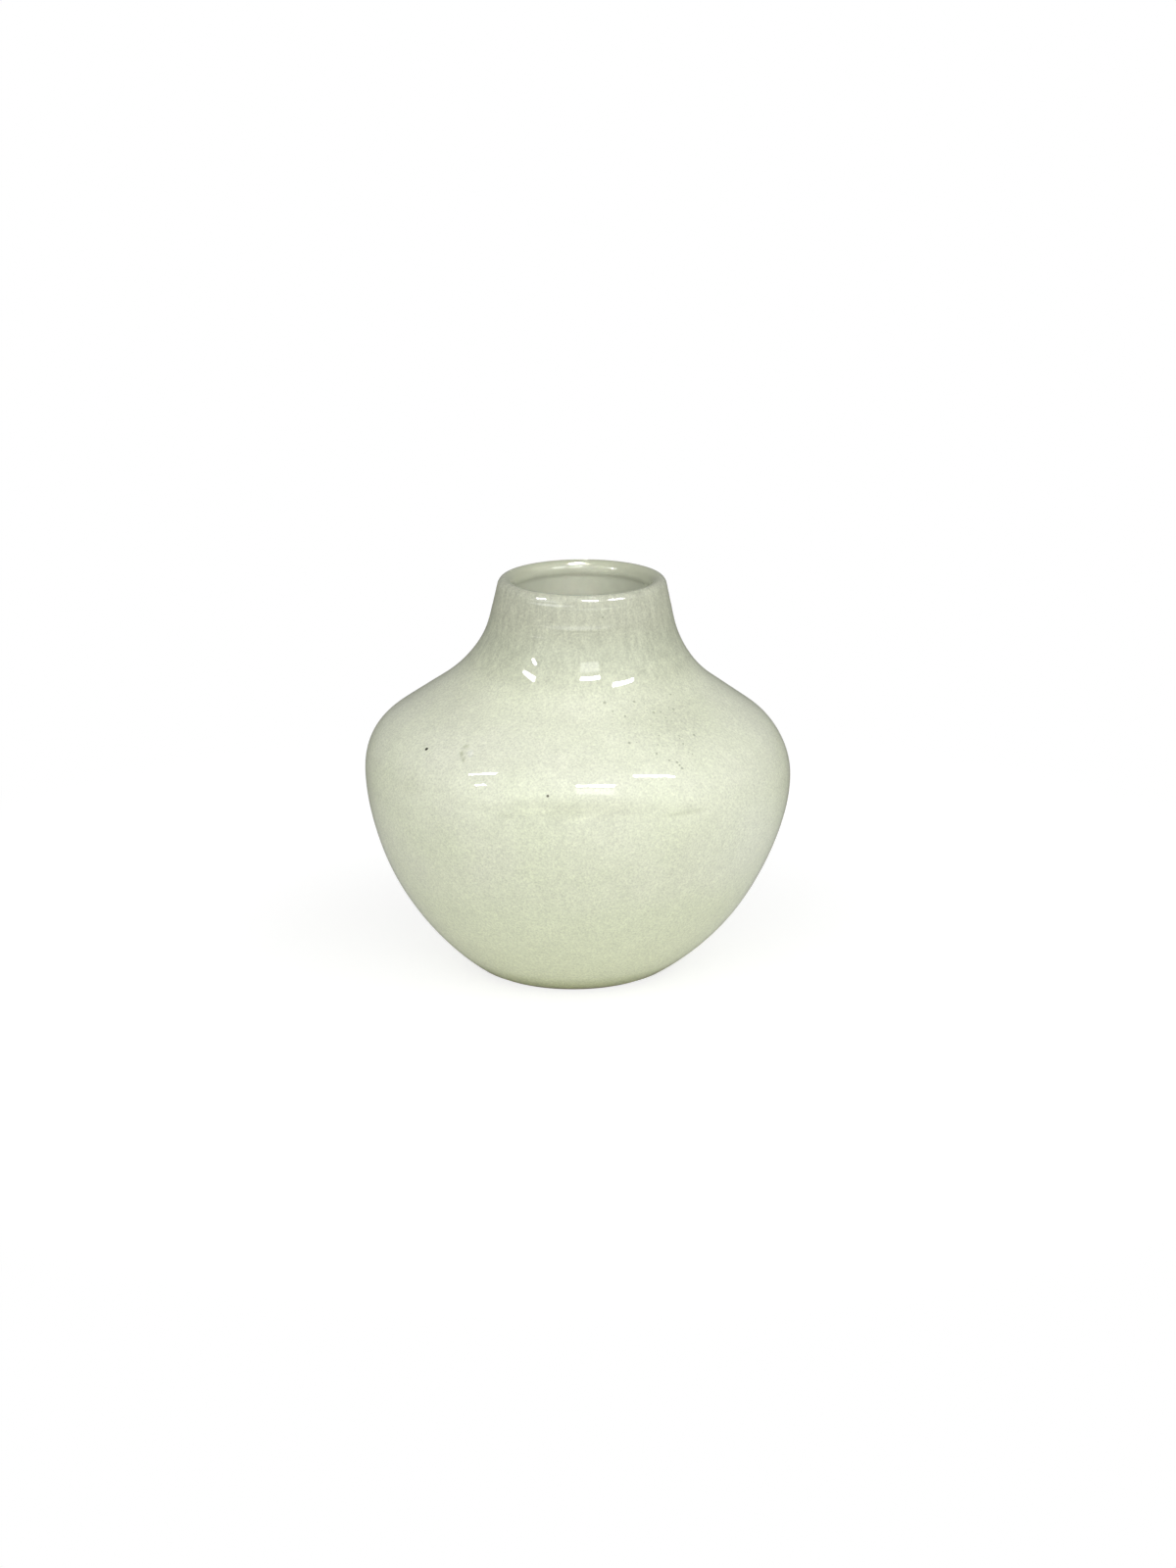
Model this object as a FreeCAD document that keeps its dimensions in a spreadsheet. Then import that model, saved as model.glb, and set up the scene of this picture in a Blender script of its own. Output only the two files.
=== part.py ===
import FreeCAD, Part
import math
import os
import Sketcher

# Narrow-necked, high-shouldered porcelain jar, made the way it is potted. A foot ring, two thrown bowls
# joined rim to rim at the widest part, and a neck collar with a rolled lip are luted together with thin
# rings of slip. Coats of glaze then cover the outside, the inside and the well under the floor.
# The wheel's axis is Z, and the jar stands on Z = 0.

doc = FreeCAD.newDocument("Jar")

# Driving sizes: millimetres, but degrees where the name ends in slope or turn.
# The first group draws the outside of the glaze from the table up to the crown of the lip.
jar_sizes = {
    "foot_radius": 44.0,
    "belly_radius": 100.0,
    "belly_height": 94.4,
    "belly_round": 75.5,
    "belly_turn": 13.1,
    "shoulder_round": 33.6,
    "shoulder_slope": 34.2,
    "shoulder_run": 24.7,
    "neck_hollow": 53.2,
    "neck_slope": 77.0,
    "neck_run": 17.2,
    "lip_round": 3.3,
    # walls, floor and throat
    "clay_wall": 6.2,
    "floor_clay": 8.0,
    "floor_round": 28.0,
    "throat_undercut": 0.4,
    "undercut_hollow": 8.0,
    # joints
    "luting_slip": 0.8,
    "key_depth": 1.6,
    # glaze
    "glaze_coat": 0.6,
    "outer_hem_height": 2.4,
    "well_hem_height": 2.0,
    "well_fillet": 1.4,
    # foot ring
    "foot_height": 6.0,
    "foot_width": 9.0,
    "foot_edge_round": 3.0,
    "well_edge_round": 1.2,
}

sheet = doc.addObject("Spreadsheet::Sheet", "Sizes")
for row, (size_name, size) in enumerate(jar_sizes.items(), start=1):
    sheet.set(f"A{row}", size_name.replace("_", " "))
    sheet.set(f"B{row}", str(size))
    sheet.setAlias(f"B{row}", size_name)
doc.recompute()

# Places that follow from the sizes, in the order they are worked out from the table to the lip.
# Names that end in r are distances from the axis, and names that end in z are heights.
outline_places = {
    # the lower wall: one large arc through the foot, tangent to the round under the widest part
    "turn_r": "Sizes.belly_radius - Sizes.belly_round * (1 - cos(Sizes.belly_turn))",
    "turn_z": "Sizes.belly_height - Sizes.belly_round * sin(Sizes.belly_turn)",
    "foot_reach": "turn_r - Sizes.foot_radius",
    "wall_round": "(foot_reach ^ 2 + turn_z ^ 2)"
                  " / (2 * (foot_reach * cos(Sizes.belly_turn) - turn_z * sin(Sizes.belly_turn)))",
    "wall_centre_r": "turn_r - wall_round * cos(Sizes.belly_turn)",
    "wall_centre_z": "turn_z + wall_round * sin(Sizes.belly_turn)",
    # the shoulder: a round above the widest part, then a straight run up to the neck's seat
    "shoulder_centre_r": "Sizes.belly_radius - Sizes.shoulder_round",
    "run_start_r": "shoulder_centre_r + Sizes.shoulder_round * sin(Sizes.shoulder_slope)",
    "run_start_z": "Sizes.belly_height + Sizes.shoulder_round * cos(Sizes.shoulder_slope)",
    "seat_r": "run_start_r - Sizes.shoulder_run * cos(Sizes.shoulder_slope)",
    "seat_z": "run_start_z + Sizes.shoulder_run * sin(Sizes.shoulder_slope)",
    # the neck: a hollow arc, a straight run and the small round of the lip up to its crown
    "hollow_end_r": "seat_r + Sizes.neck_hollow * (sin(Sizes.shoulder_slope) - sin(Sizes.neck_slope))",
    "hollow_end_z": "seat_z + Sizes.neck_hollow * (cos(Sizes.shoulder_slope) - cos(Sizes.neck_slope))",
    "lip_start_r": "hollow_end_r - Sizes.neck_run * cos(Sizes.neck_slope)",
    "lip_start_z": "hollow_end_z + Sizes.neck_run * sin(Sizes.neck_slope)",
    "crown_r": "lip_start_r - Sizes.lip_round * sin(Sizes.neck_slope)",
    "crown_z": "lip_start_z + Sizes.lip_round * (1 - cos(Sizes.neck_slope))",
    # the throat: the lip rolls inwards, wraps under by the undercut and eases back to the neck's wall
    "full_wall": "Sizes.clay_wall + 2 * Sizes.glaze_coat",
    "roll_round": "(full_wall + Sizes.throat_undercut - Sizes.lip_round * (1 - cos(Sizes.neck_slope)))"
                  " / (1 + cos(Sizes.neck_slope))",
    "roll_z": "crown_z - roll_round",
    "ease_reach": "roll_round + Sizes.undercut_hollow",
    "ease_drop": "sqrt(Sizes.throat_undercut * (2 * ease_reach - Sizes.throat_undercut))",
    "ease_r": "crown_r - (ease_reach - Sizes.throat_undercut) * sin(Sizes.neck_slope)"
              " + ease_drop * cos(Sizes.neck_slope)",
    "ease_z": "roll_z - (ease_reach - Sizes.throat_undercut) * cos(Sizes.neck_slope)"
              " - ease_drop * sin(Sizes.neck_slope)",
    # the floor: flat in the middle, with a round up to the lower wall
    "base_z": "Sizes.foot_height + Sizes.luting_slip",
    "floor_z": "base_z + Sizes.floor_clay + Sizes.glaze_coat",
    "corner_z": "floor_z + Sizes.floor_round",
    "corner_reach": "wall_round - full_wall - Sizes.floor_round",
    "corner_r": "wall_centre_r + sqrt(corner_reach ^ 2 - (wall_centre_z - corner_z) ^ 2)",
    # the foot ring: its well, its rounded outer edge, and the place where the outer glaze stops
    "well_r": "Sizes.foot_radius - Sizes.foot_width",
    "edge_reach": "wall_round - Sizes.glaze_coat - Sizes.foot_edge_round",
    "edge_r": "wall_centre_r + sqrt(edge_reach ^ 2 - (wall_centre_z - Sizes.foot_edge_round) ^ 2)",
    "hem_r": "wall_centre_r + sqrt((wall_round - Sizes.glaze_coat) ^ 2"
             " - (wall_centre_z - Sizes.outer_hem_height) ^ 2)",
}

outline = doc.addObject("App::VarSet", "Outline")
for place_name, formula in outline_places.items():
    outline.addProperty("App::PropertyFloat", place_name, "Outline")
    outline.setExpression(place_name, formula)
doc.recompute()

# Depths under the outside of the glaze, at which the faces of the clay and of the liner coat lie.
skin = "0"
outer_clay = "Sizes.glaze_coat"
mid_clay = "(Sizes.glaze_coat + Sizes.clay_wall / 2)"
inner_clay = "(Sizes.glaze_coat + Sizes.clay_wall)"
liner_skin = "Outline.full_wall"


# A corner of a section is its name, its distance from the axis and its height, both as formulas.
def corner(name, radius, height):
    return {"name": name, "r": radius, "z": height, "arc": None}


# The edge that leaves a corner is straight, or an arc of a given radius that turns left or right.
def turning(start, side, radius):
    return dict(start, arc=(side, radius))


# The two ends of the straight run on the shoulder, and the neck's seat moved back along that run.
def run_start(depth):
    radius = f"Outline.run_start_r - {depth} * sin(Sizes.shoulder_slope)"
    height = f"Outline.run_start_z - {depth} * cos(Sizes.shoulder_slope)"
    return corner("run_start", radius, height)


def seat(name, back, depth):
    radius = f"Outline.seat_r + {back} * cos(Sizes.shoulder_slope) - {depth} * sin(Sizes.shoulder_slope)"
    height = f"Outline.seat_z - {back} * sin(Sizes.shoulder_slope) - {depth} * cos(Sizes.shoulder_slope)"
    return corner(name, radius, height)


# The two ends of the straight run on the neck.
def neck_point(place, depth):
    radius = f"Outline.{place}_r - {depth} * sin(Sizes.neck_slope)"
    height = f"Outline.{place}_z - {depth} * cos(Sizes.neck_slope)"
    return corner(place, radius, height)


def crown(depth):
    return corner("crown", "Outline.crown_r", f"Outline.crown_z - {depth}")


# The throat's roll ends where it meets the easing arc, which ends on the neck's wall.
def roll_end(coat):
    share = f"(Outline.roll_round - {coat}) / Outline.ease_reach"
    radius = f"Outline.crown_r + (Outline.ease_r - Outline.crown_r) * {share}"
    height = f"Outline.roll_z + (Outline.ease_z - Outline.roll_z) * {share}"
    return corner("roll_end", radius, height)


def ease_end(coat):
    radius = f"Outline.ease_r + (Sizes.undercut_hollow + {coat}) * sin(Sizes.neck_slope)"
    height = f"Outline.ease_z + (Sizes.undercut_hollow + {coat}) * cos(Sizes.neck_slope)"
    return corner("ease_end", radius, height)


def belly(depth):
    return corner("belly", f"Sizes.belly_radius - {depth}", "Sizes.belly_height")


# The upper side of the slip at the belly, where the second bowl starts.
def belly_top(name, depth):
    rise = f"sqrt((Sizes.shoulder_round - {depth}) ^ 2 - Sizes.luting_slip ^ 2)"
    return corner(name, f"Outline.shoulder_centre_r + {rise}", "Sizes.belly_height + Sizes.luting_slip")


def turn(depth):
    radius = f"Outline.turn_r - {depth} * cos(Sizes.belly_turn)"
    height = f"Outline.turn_z + {depth} * sin(Sizes.belly_turn)"
    return corner("turn", radius, height)


# A place on the lower wall at a given height, on the face of the clay.
def lower_wall(name, height):
    reach = f"sqrt((Outline.wall_round - {outer_clay}) ^ 2 - (Outline.wall_centre_z - {height}) ^ 2)"
    return corner(name, f"Outline.wall_centre_r + {reach}", height)


# The floor's round, from the wall down to the flat of the floor.
def corner_top(coat):
    share = f"(Outline.corner_reach + Sizes.floor_round + {coat}) / Outline.corner_reach"
    radius = f"Outline.wall_centre_r + (Outline.corner_r - Outline.wall_centre_r) * {share}"
    height = f"Outline.wall_centre_z + (Outline.corner_z - Outline.wall_centre_z) * {share}"
    return corner("corner_top", radius, height)


def corner_foot(coat):
    return corner("corner_foot", "Outline.corner_r", f"Outline.floor_z - {coat}")


def floor_middle(coat):
    return corner("floor_middle", "0", f"Outline.floor_z - {coat}")


# The outside line from a depth, up the wall from the belly's turn to the crown.
def upward_line(depth):
    return [
        turning(turn(depth), "left", f"Sizes.belly_round - {depth}"),
        turning(belly(depth), "left", f"Sizes.shoulder_round - {depth}"),
        run_start(depth),
        turning(seat("seat", "0", depth), "right", f"Sizes.neck_hollow + {depth}"),
        neck_point("hollow_end", depth),
        turning(neck_point("lip_start", depth), "left", f"Sizes.lip_round - {depth}"),
        crown(depth),
    ]


# The inside line, from the crown down the throat and the wall to the middle of the floor.
# The coat is how far behind the liner's own face the line lies.
def inward_line(coat):
    depth = f"({liner_skin} - {coat})"
    return [
        turning(crown(coat), "left", f"Outline.roll_round - {coat}"),
        turning(roll_end(coat), "right", f"Sizes.undercut_hollow + {coat}"),
        ease_end(coat),
        turning(neck_point("hollow_end", depth), "left", f"Sizes.neck_hollow + {depth}"),
        seat("seat", "0", depth),
        turning(run_start(depth), "right", f"Sizes.shoulder_round - {depth}"),
        turning(belly(depth), "right", f"Sizes.belly_round - {depth}"),
        turning(turn(depth), "right", f"Outline.wall_round - {depth}"),
        turning(corner_top(coat), "right", f"Sizes.floor_round + {coat}"),
        corner_foot(coat),
        floor_middle(coat),
    ]


# The same line walked the other way: each arc moves to the corner that now starts it.
def reversed_line(line):
    opposite = {"left": "right", "right": "left"}
    back = []
    for place, before in zip(reversed(line), reversed([None] + line[:-1])):
        arc = before["arc"] if before else None
        back.append(dict(place, arc=(opposite[arc[0]], arc[1]) if arc else None))
    return back


def named(line, ending):
    return [dict(place, name=place["name"] + ending) for place in line]


# Keyed joint across the wall: both faces dip in the middle, so that the rims can't slide.
def seat_key(back):
    return [
        seat("rim_outside", back, outer_clay),
        seat("key", f"({back} + Sizes.key_depth)", mid_clay),
        seat("rim_inside", back, inner_clay),
    ]


belly_key = corner("key", f"Sizes.belly_radius - {mid_clay}", "Sizes.belly_height - Sizes.key_depth")
belly_key_top = corner("key_top", belly_key["r"], f"{belly_key['z']} + Sizes.luting_slip")


# Sections, each a closed line of corners walked round with the clay or glaze on the left.
def foot_ring_section():
    edge_share = "(Outline.wall_round - Sizes.glaze_coat) / Outline.edge_reach"
    edge_top_r = f"Outline.wall_centre_r + (Outline.edge_r - Outline.wall_centre_r) * {edge_share}"
    edge_top_z = f"Outline.wall_centre_z + (Sizes.foot_edge_round - Outline.wall_centre_z) * {edge_share}"
    return [
        turning(corner("well_edge", "Outline.well_r", "Sizes.well_edge_round"), "left",
                "Sizes.well_edge_round"),
        corner("standing_inside", "Outline.well_r + Sizes.well_edge_round", "0"),
        turning(corner("standing_outside", "Outline.edge_r", "0"), "left", "Sizes.foot_edge_round"),
        turning(corner("edge_top", edge_top_r, edge_top_z), "left", f"Outline.wall_round - {outer_clay}"),
        lower_wall("top_outside", "Sizes.foot_height"),
        corner("top_inside", "Outline.well_r", "Sizes.foot_height"),
    ]


def foot_slip_section():
    return [
        corner("low_inside", "Outline.well_r", "Sizes.foot_height"),
        turning(lower_wall("low_outside", "Sizes.foot_height"), "left", f"Outline.wall_round - {outer_clay}"),
        lower_wall("high_outside", "Outline.base_z"),
        corner("high_inside", "Outline.well_r", "Outline.base_z"),
    ]


def lower_bowl_section():
    inside = inward_line(outer_clay)[6:]
    return [
        corner("base_middle", "0", "Outline.base_z"),
        turning(lower_wall("base_edge", "Outline.base_z"), "left", f"Outline.wall_round - {outer_clay}"),
        turning(turn(outer_clay), "left", f"Sizes.belly_round - {outer_clay}"),
        belly(outer_clay),
        belly_key,
        *named(inside, "_inside"),
    ]


def belly_slip_section():
    return [
        turning(belly(outer_clay), "left", f"Sizes.shoulder_round - {outer_clay}"),
        belly_top("top_outside", outer_clay),
        belly_key_top,
        turning(belly_top("top_inside", inner_clay), "right", f"Sizes.shoulder_round - {inner_clay}"),
        dict(belly(inner_clay), name="belly_inside"),
        belly_key,
    ]


def upper_bowl_section():
    inside = dict(run_start(inner_clay), name="run_start_inside")
    return [
        turning(belly_top("rim_low_outside", outer_clay), "left", f"Sizes.shoulder_round - {outer_clay}"),
        run_start(outer_clay),
        *seat_key("Sizes.luting_slip"),
        turning(inside, "right", f"Sizes.shoulder_round - {inner_clay}"),
        belly_top("rim_low_inside", inner_clay),
        belly_key_top,
    ]


def neck_slip_section():
    top = named(seat_key("0"), "_top")
    return seat_key("Sizes.luting_slip")[::-1] + top


def neck_collar_section():
    outside = upward_line(outer_clay)[3:-1]
    inside = inward_line(outer_clay)[:5]
    key = seat_key("0")[1]
    return outside + named(inside, "_inside") + [key]


def outer_glaze_section():
    # the coat ends in a quarter round, one coat wide, on the face of the clay
    lean_r = "(Outline.hem_r - Outline.wall_centre_r) / (Outline.wall_round - Sizes.glaze_coat)"
    lean_z = "(Sizes.outer_hem_height - Outline.wall_centre_z) / (Outline.wall_round - Sizes.glaze_coat)"
    hem_top_r = f"Outline.hem_r + Sizes.glaze_coat * ({lean_r} - {lean_z})"
    hem_top_z = f"Sizes.outer_hem_height + Sizes.glaze_coat * ({lean_z} + {lean_r})"
    back = reversed_line(upward_line(outer_clay))
    back[-1] = turning(back[-1], "right", f"Outline.wall_round - {outer_clay}")
    return [
        turning(corner("hem", "Outline.hem_r", "Sizes.outer_hem_height"), "left", "Sizes.glaze_coat"),
        turning(corner("hem_top", hem_top_r, hem_top_z), "left", "Outline.wall_round"),
        *upward_line(skin),
        *named(back, "_back"),
    ]


def liner_glaze_section():
    back = reversed_line(inward_line(outer_clay))
    return inward_line(skin) + named(back, "_back")


def foot_well_section():
    coat = "Sizes.glaze_coat"
    face_r = f"Outline.well_r - {coat}"
    face_z = f"Outline.base_z - {coat}"
    return [
        corner("roof_middle", "0", face_z),
        turning(corner("fillet_roof", f"{face_r} - Sizes.well_fillet", face_z), "right",
                "Sizes.well_fillet"),
        corner("fillet_wall", face_r, f"{face_z} - Sizes.well_fillet"),
        turning(corner("hem_inside", face_r, f"Sizes.well_hem_height + {coat}"), "left", coat),
        corner("hem", "Outline.well_r", "Sizes.well_hem_height"),
        corner("roof_edge", "Outline.well_r", "Outline.base_z"),
        corner("base_middle", "0", "Outline.base_z"),
    ]


# The arc from one corner to the next, as sketch geometry. A sketch keeps its arcs anticlockwise, so one
# that turns right is stored from its far end.
def arc_between(start, end, side, radius):
    chord = end - start
    left = FreeCAD.Vector(-chord.y, chord.x, 0).normalize()
    offset = math.sqrt(radius ** 2 - chord.Length ** 2 / 4)
    centre = start + chord / 2 + left * (offset if side == "left" else -offset)
    first, last = (start, end) if side == "left" else (end, start)
    circle = Part.Circle(centre, FreeCAD.Vector(0, 0, 1), radius)
    first_angle = math.atan2(first.y - centre.y, first.x - centre.x)
    last_angle = math.atan2(last.y - centre.y, last.x - centre.x)
    return Part.ArcOfCircle(circle, first_angle, last_angle)


# Binds one distance of a sketch point to its formula, or lays the point on the axis or the table line.
def bind_place(sketch, edge, end, kind, axis_line, formula, value, name):
    if formula == "0":
        sketch.addConstraint(Sketcher.Constraint("PointOnObject", edge, end, axis_line))
        return
    sketch.addConstraint(Sketcher.Constraint(kind, -1, 1, edge, end, value))
    number = sketch.ConstraintCount - 1
    sketch.renameConstraint(number, name)
    sketch.setExpression(f"Constraints.{name}", formula)


def draw_section(sketch, section):
    points = [FreeCAD.Vector(float(sheet.evalExpression(place["r"])),
                             float(sheet.evalExpression(place["z"])), 0) for place in section]
    ends = []
    for number, place in enumerate(section):
        start = points[number]
        end = points[(number + 1) % len(points)]
        if place["arc"] is None:
            sketch.addGeometry(Part.LineSegment(start, end))
            ends.append((1, 2))
        else:
            side, formula = place["arc"]
            radius = float(sheet.evalExpression(formula))
            sketch.addGeometry(arc_between(start, end, side, radius))
            ends.append((1, 2) if side == "left" else (2, 1))
    for number, place in enumerate(section):
        following = (number + 1) % len(section)
        sketch.addConstraint(Sketcher.Constraint("Coincident", number, ends[number][1],
                                                 following, ends[following][0]))
        start = ends[number][0]
        bind_place(sketch, number, start, "DistanceX", -2, place["r"], points[number].x,
                   place["name"] + "_r")
        bind_place(sketch, number, start, "DistanceY", -1, place["z"], points[number].y,
                   place["name"] + "_z")
        if place["arc"]:
            radius = float(sheet.evalExpression(place["arc"][1]))
            sketch.addConstraint(Sketcher.Constraint("Radius", number, radius))
            arc_name = place["name"] + "_round"
            sketch.renameConstraint(sketch.ConstraintCount - 1, arc_name)
            sketch.setExpression(f"Constraints.{arc_name}", place["arc"][1])


# Every piece is thrown on the same axis, so it is turned in place from its own section.
def turned_piece(label, section):
    body = doc.addObject("PartDesign::Body", label)
    body.Label = label
    body.Placement = FreeCAD.Placement()
    upright = [plane for plane in body.Origin.OriginFeatures if plane.Role == "XZ_Plane"][0]
    sketch = body.newObject("Sketcher::SketchObject", label + "_section")
    sketch.AttachmentSupport = [(upright, "")]
    sketch.MapMode = "FlatFace"
    draw_section(sketch, section)
    doc.recompute()
    if not sketch.FullyConstrained:
        raise ValueError(f"the section of {label} can still move")
    revolution = body.newObject("PartDesign::Revolution", label + "_turned")
    revolution.Profile = sketch
    revolution.ReferenceAxis = (sketch, ["V_Axis"])
    revolution.Angle = 360
    body.Tip = revolution
    return body


pieces = [
    turned_piece("foot_ring", foot_ring_section()),
    turned_piece("foot_luting_slip", foot_slip_section()),
    turned_piece("lower_bowl", lower_bowl_section()),
    turned_piece("belly_luting_slip", belly_slip_section()),
    turned_piece("upper_bowl", upper_bowl_section()),
    turned_piece("neck_luting_slip", neck_slip_section()),
    turned_piece("neck_collar", neck_collar_section()),
    turned_piece("outer_glaze", outer_glaze_section()),
    turned_piece("liner_glaze", liner_glaze_section()),
    turned_piece("foot_well_glaze", foot_well_section()),
]
doc.recompute()

for item in doc.Objects:
    if "Invalid" in item.State or "Error" in item.State:
        raise ValueError(f"{item.Label} failed: {item.State}")

for piece in pieces:
    shape = piece.Shape
    if shape.isNull() or not shape.isValid() or len(shape.Solids) != 1 or shape.Volume <= 0:
        raise ValueError(f"{piece.Label} is not one sound solid")

os.makedirs("parts", exist_ok=True)
for piece in pieces:
    piece.Shape.exportStep(f"parts/{piece.Label}.step")
    box = piece.Shape.BoundBox
    print(f"{piece.Label}: {piece.Shape.Volume / 1000:.1f} cm3, z {box.ZMin:.2f} to {box.ZMax:.2f},"
          f" across {box.XLength:.2f}")
print(f"height {outline.crown_z:.2f}, crown radius {outline.crown_r:.2f},"
      f" throat radius {outline.crown_r - outline.roll_round:.2f}")
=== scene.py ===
import math

import bpy
import numpy as np
from mathutils import Matrix, Vector


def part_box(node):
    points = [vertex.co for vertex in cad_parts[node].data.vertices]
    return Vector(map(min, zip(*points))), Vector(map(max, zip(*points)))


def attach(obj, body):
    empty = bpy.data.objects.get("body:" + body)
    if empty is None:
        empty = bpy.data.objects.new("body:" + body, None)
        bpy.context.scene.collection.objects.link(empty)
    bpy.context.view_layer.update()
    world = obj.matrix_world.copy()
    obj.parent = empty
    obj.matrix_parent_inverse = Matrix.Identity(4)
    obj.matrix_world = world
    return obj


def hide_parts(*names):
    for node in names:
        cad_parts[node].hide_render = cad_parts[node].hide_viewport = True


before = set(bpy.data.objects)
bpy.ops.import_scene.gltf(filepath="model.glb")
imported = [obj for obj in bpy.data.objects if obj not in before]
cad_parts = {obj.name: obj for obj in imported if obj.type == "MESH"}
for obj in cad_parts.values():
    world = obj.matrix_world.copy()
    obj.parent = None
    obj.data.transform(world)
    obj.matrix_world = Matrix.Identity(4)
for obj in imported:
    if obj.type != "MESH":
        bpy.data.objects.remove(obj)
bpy.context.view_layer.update()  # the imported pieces, their bodies and the record
print("frame loaded:", len(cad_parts), "pieces")

mm = 0.001  # every outline below is in millimetres, as on the wheel
glazeCoat = 0.6


# Outline of the jar. Rounds meet tangent to each other, with straight runs between some of them.
jarLine = {
    "bellyRadius": (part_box("outer_glaze")[1].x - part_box("outer_glaze")[0].x) / 2 / mm,
    "bellyHeight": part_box("lower_bowl")[1].z / mm,
    "footRadius": 44.0,
    "bellyRound": 75.5,
    "bellyTurn": 13.1,  # degrees that the round under the widest part runs through
    "shoulderRound": 33.6,
    "shoulderSlope": 34.2,
    "shoulderRun": 24.7,
    "neckHollow": 53.2,
    "neckSlope": 77.0,
    "neckRun": 17.2,
    "lipRound": 3.3,
    "wall": 7.4,  # clay and both coats
    "coat": glazeCoat,
    "throatUndercut": 0.4,
    "undercutHollow": 8.0,
    "floorRound": 28.0,
    "floorHeight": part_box("liner_glaze")[0].z / mm + glazeCoat,
}


def normalAt(angle):
    return np.array([math.cos(math.radians(angle)), math.sin(math.radians(angle))])


# A round is kept by its centre and by the directions that its face looks in, start to end.
def makeRound(start, angle, radius, toAngle, hollow=False):
    side = 1 if hollow else -1
    centre = start + side * radius * normalAt(angle)
    end = centre - side * radius * normalAt(toAngle)
    return {"centre": centre, "radius": radius, "from": angle, "to": toAngle, "hollow": hollow}, end


def straightRun(start, angle, length):
    return start + length * normalAt(angle + 90)


def roundPoints(item, depth=0.0, spacing=0.4):
    radius = item["radius"] + (depth if item["hollow"] else -depth)
    side = -1 if item["hollow"] else 1
    sweep = math.radians(abs(item["to"] - item["from"]))
    angles = np.radians(np.linspace(item["from"], item["to"], max(3, int(sweep * radius / spacing))))
    return item["centre"] + side * radius * np.c_[np.cos(angles), np.sin(angles)]


# The outside from foot to crown, then the throat's roll and the ease under it.
def jarRounds(size):
    widest = np.array([size["bellyRadius"], size["bellyHeight"]])
    belly, turn = makeRound(widest, 0, size["bellyRound"], -size["bellyTurn"])
    outward = normalAt(-size["bellyTurn"])
    reach = turn - np.array([size["footRadius"], 0])
    wallRadius = reach @ reach / (2 * reach @ outward)
    wallCentre = turn - wallRadius * outward
    footAngle = -math.degrees(math.asin(wallCentre[1] / wallRadius))
    wall = {"centre": wallCentre, "radius": wallRadius, "from": footAngle,
            "to": -size["bellyTurn"], "hollow": False}
    belly["from"], belly["to"] = belly["to"], belly["from"]
    shoulderAngle = 90 - size["shoulderSlope"]
    neckAngle = 90 - size["neckSlope"]
    shoulder, place = makeRound(widest, 0, size["shoulderRound"], shoulderAngle)
    place = straightRun(place, shoulderAngle, size["shoulderRun"])
    hollow, place = makeRound(place, shoulderAngle, size["neckHollow"], neckAngle, hollow=True)
    place = straightRun(place, neckAngle, size["neckRun"])
    lip, crown = makeRound(place, neckAngle, size["lipRound"], 90)
    lean = math.sin(math.radians(neckAngle))
    rollRadius = (size["wall"] + size["throatUndercut"] - size["lipRound"] * (1 - lean)) / (1 + lean)
    easeReach = rollRadius + size["undercutHollow"]
    easeDrop = math.sqrt(size["throatUndercut"] * (2 * easeReach - size["throatUndercut"]))
    rollCentre = crown - np.array([0, rollRadius])
    easeCentre = (rollCentre - (easeReach - size["throatUndercut"]) * normalAt(neckAngle)
                  - easeDrop * normalAt(neckAngle + 90))
    toEase = easeCentre - rollCentre
    rollEnd = math.degrees(math.atan2(toEase[1], toEase[0])) % 360
    roll = {"centre": rollCentre, "radius": rollRadius, "from": 90, "to": rollEnd, "hollow": False}
    ease = {"centre": easeCentre, "radius": size["undercutHollow"], "from": rollEnd,
            "to": 180 + neckAngle, "hollow": True}
    return {"wall": wall, "belly": belly, "shoulder": shoulder, "hollow": hollow, "lip": lip,
            "roll": roll, "ease": ease, "crown": crown}


rounds = jarRounds(jarLine)


# Points at even steps along a line of points.
def evenSteps(points, step):
    along = np.r_[0, np.cumsum(np.hypot(*np.diff(points, axis=0).T))]
    places = np.linspace(0, along[-1], max(2, round(along[-1] / step)) + 1)
    return np.c_[np.interp(places, along, points[:, 0]), np.interp(places, along, points[:, 1])]


# A potter's rib leaves no sudden change of curve, so the line is averaged over a few millimetres.
rib = {"width": 2.2, "spacing": 0.25}


def ribbed(line):
    width, spacing = rib["width"], rib["spacing"]
    points = evenSteps(line, spacing)
    reach = int(3 * width / spacing)
    weights = np.exp(-0.5 * (np.arange(-reach, reach + 1) * spacing / width) ** 2)
    weights /= weights.sum()
    before = 2 * points[0] - points[reach:0:-1]
    after = 2 * points[-1] - points[-2:-reach - 2:-1]
    padded = np.vstack([before, points, after])
    return np.c_[np.convolve(padded[:, 0], weights, "valid"), np.convolve(padded[:, 1], weights, "valid")]


# The lip was wiped with a flat finger, which left a narrow band, flatter than the round it lies on.
lipBand = {"facing": 28.7, "spread": 3.0, "round": 20.0, "turnStep": 4}  # degrees, and mm for the round


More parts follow.
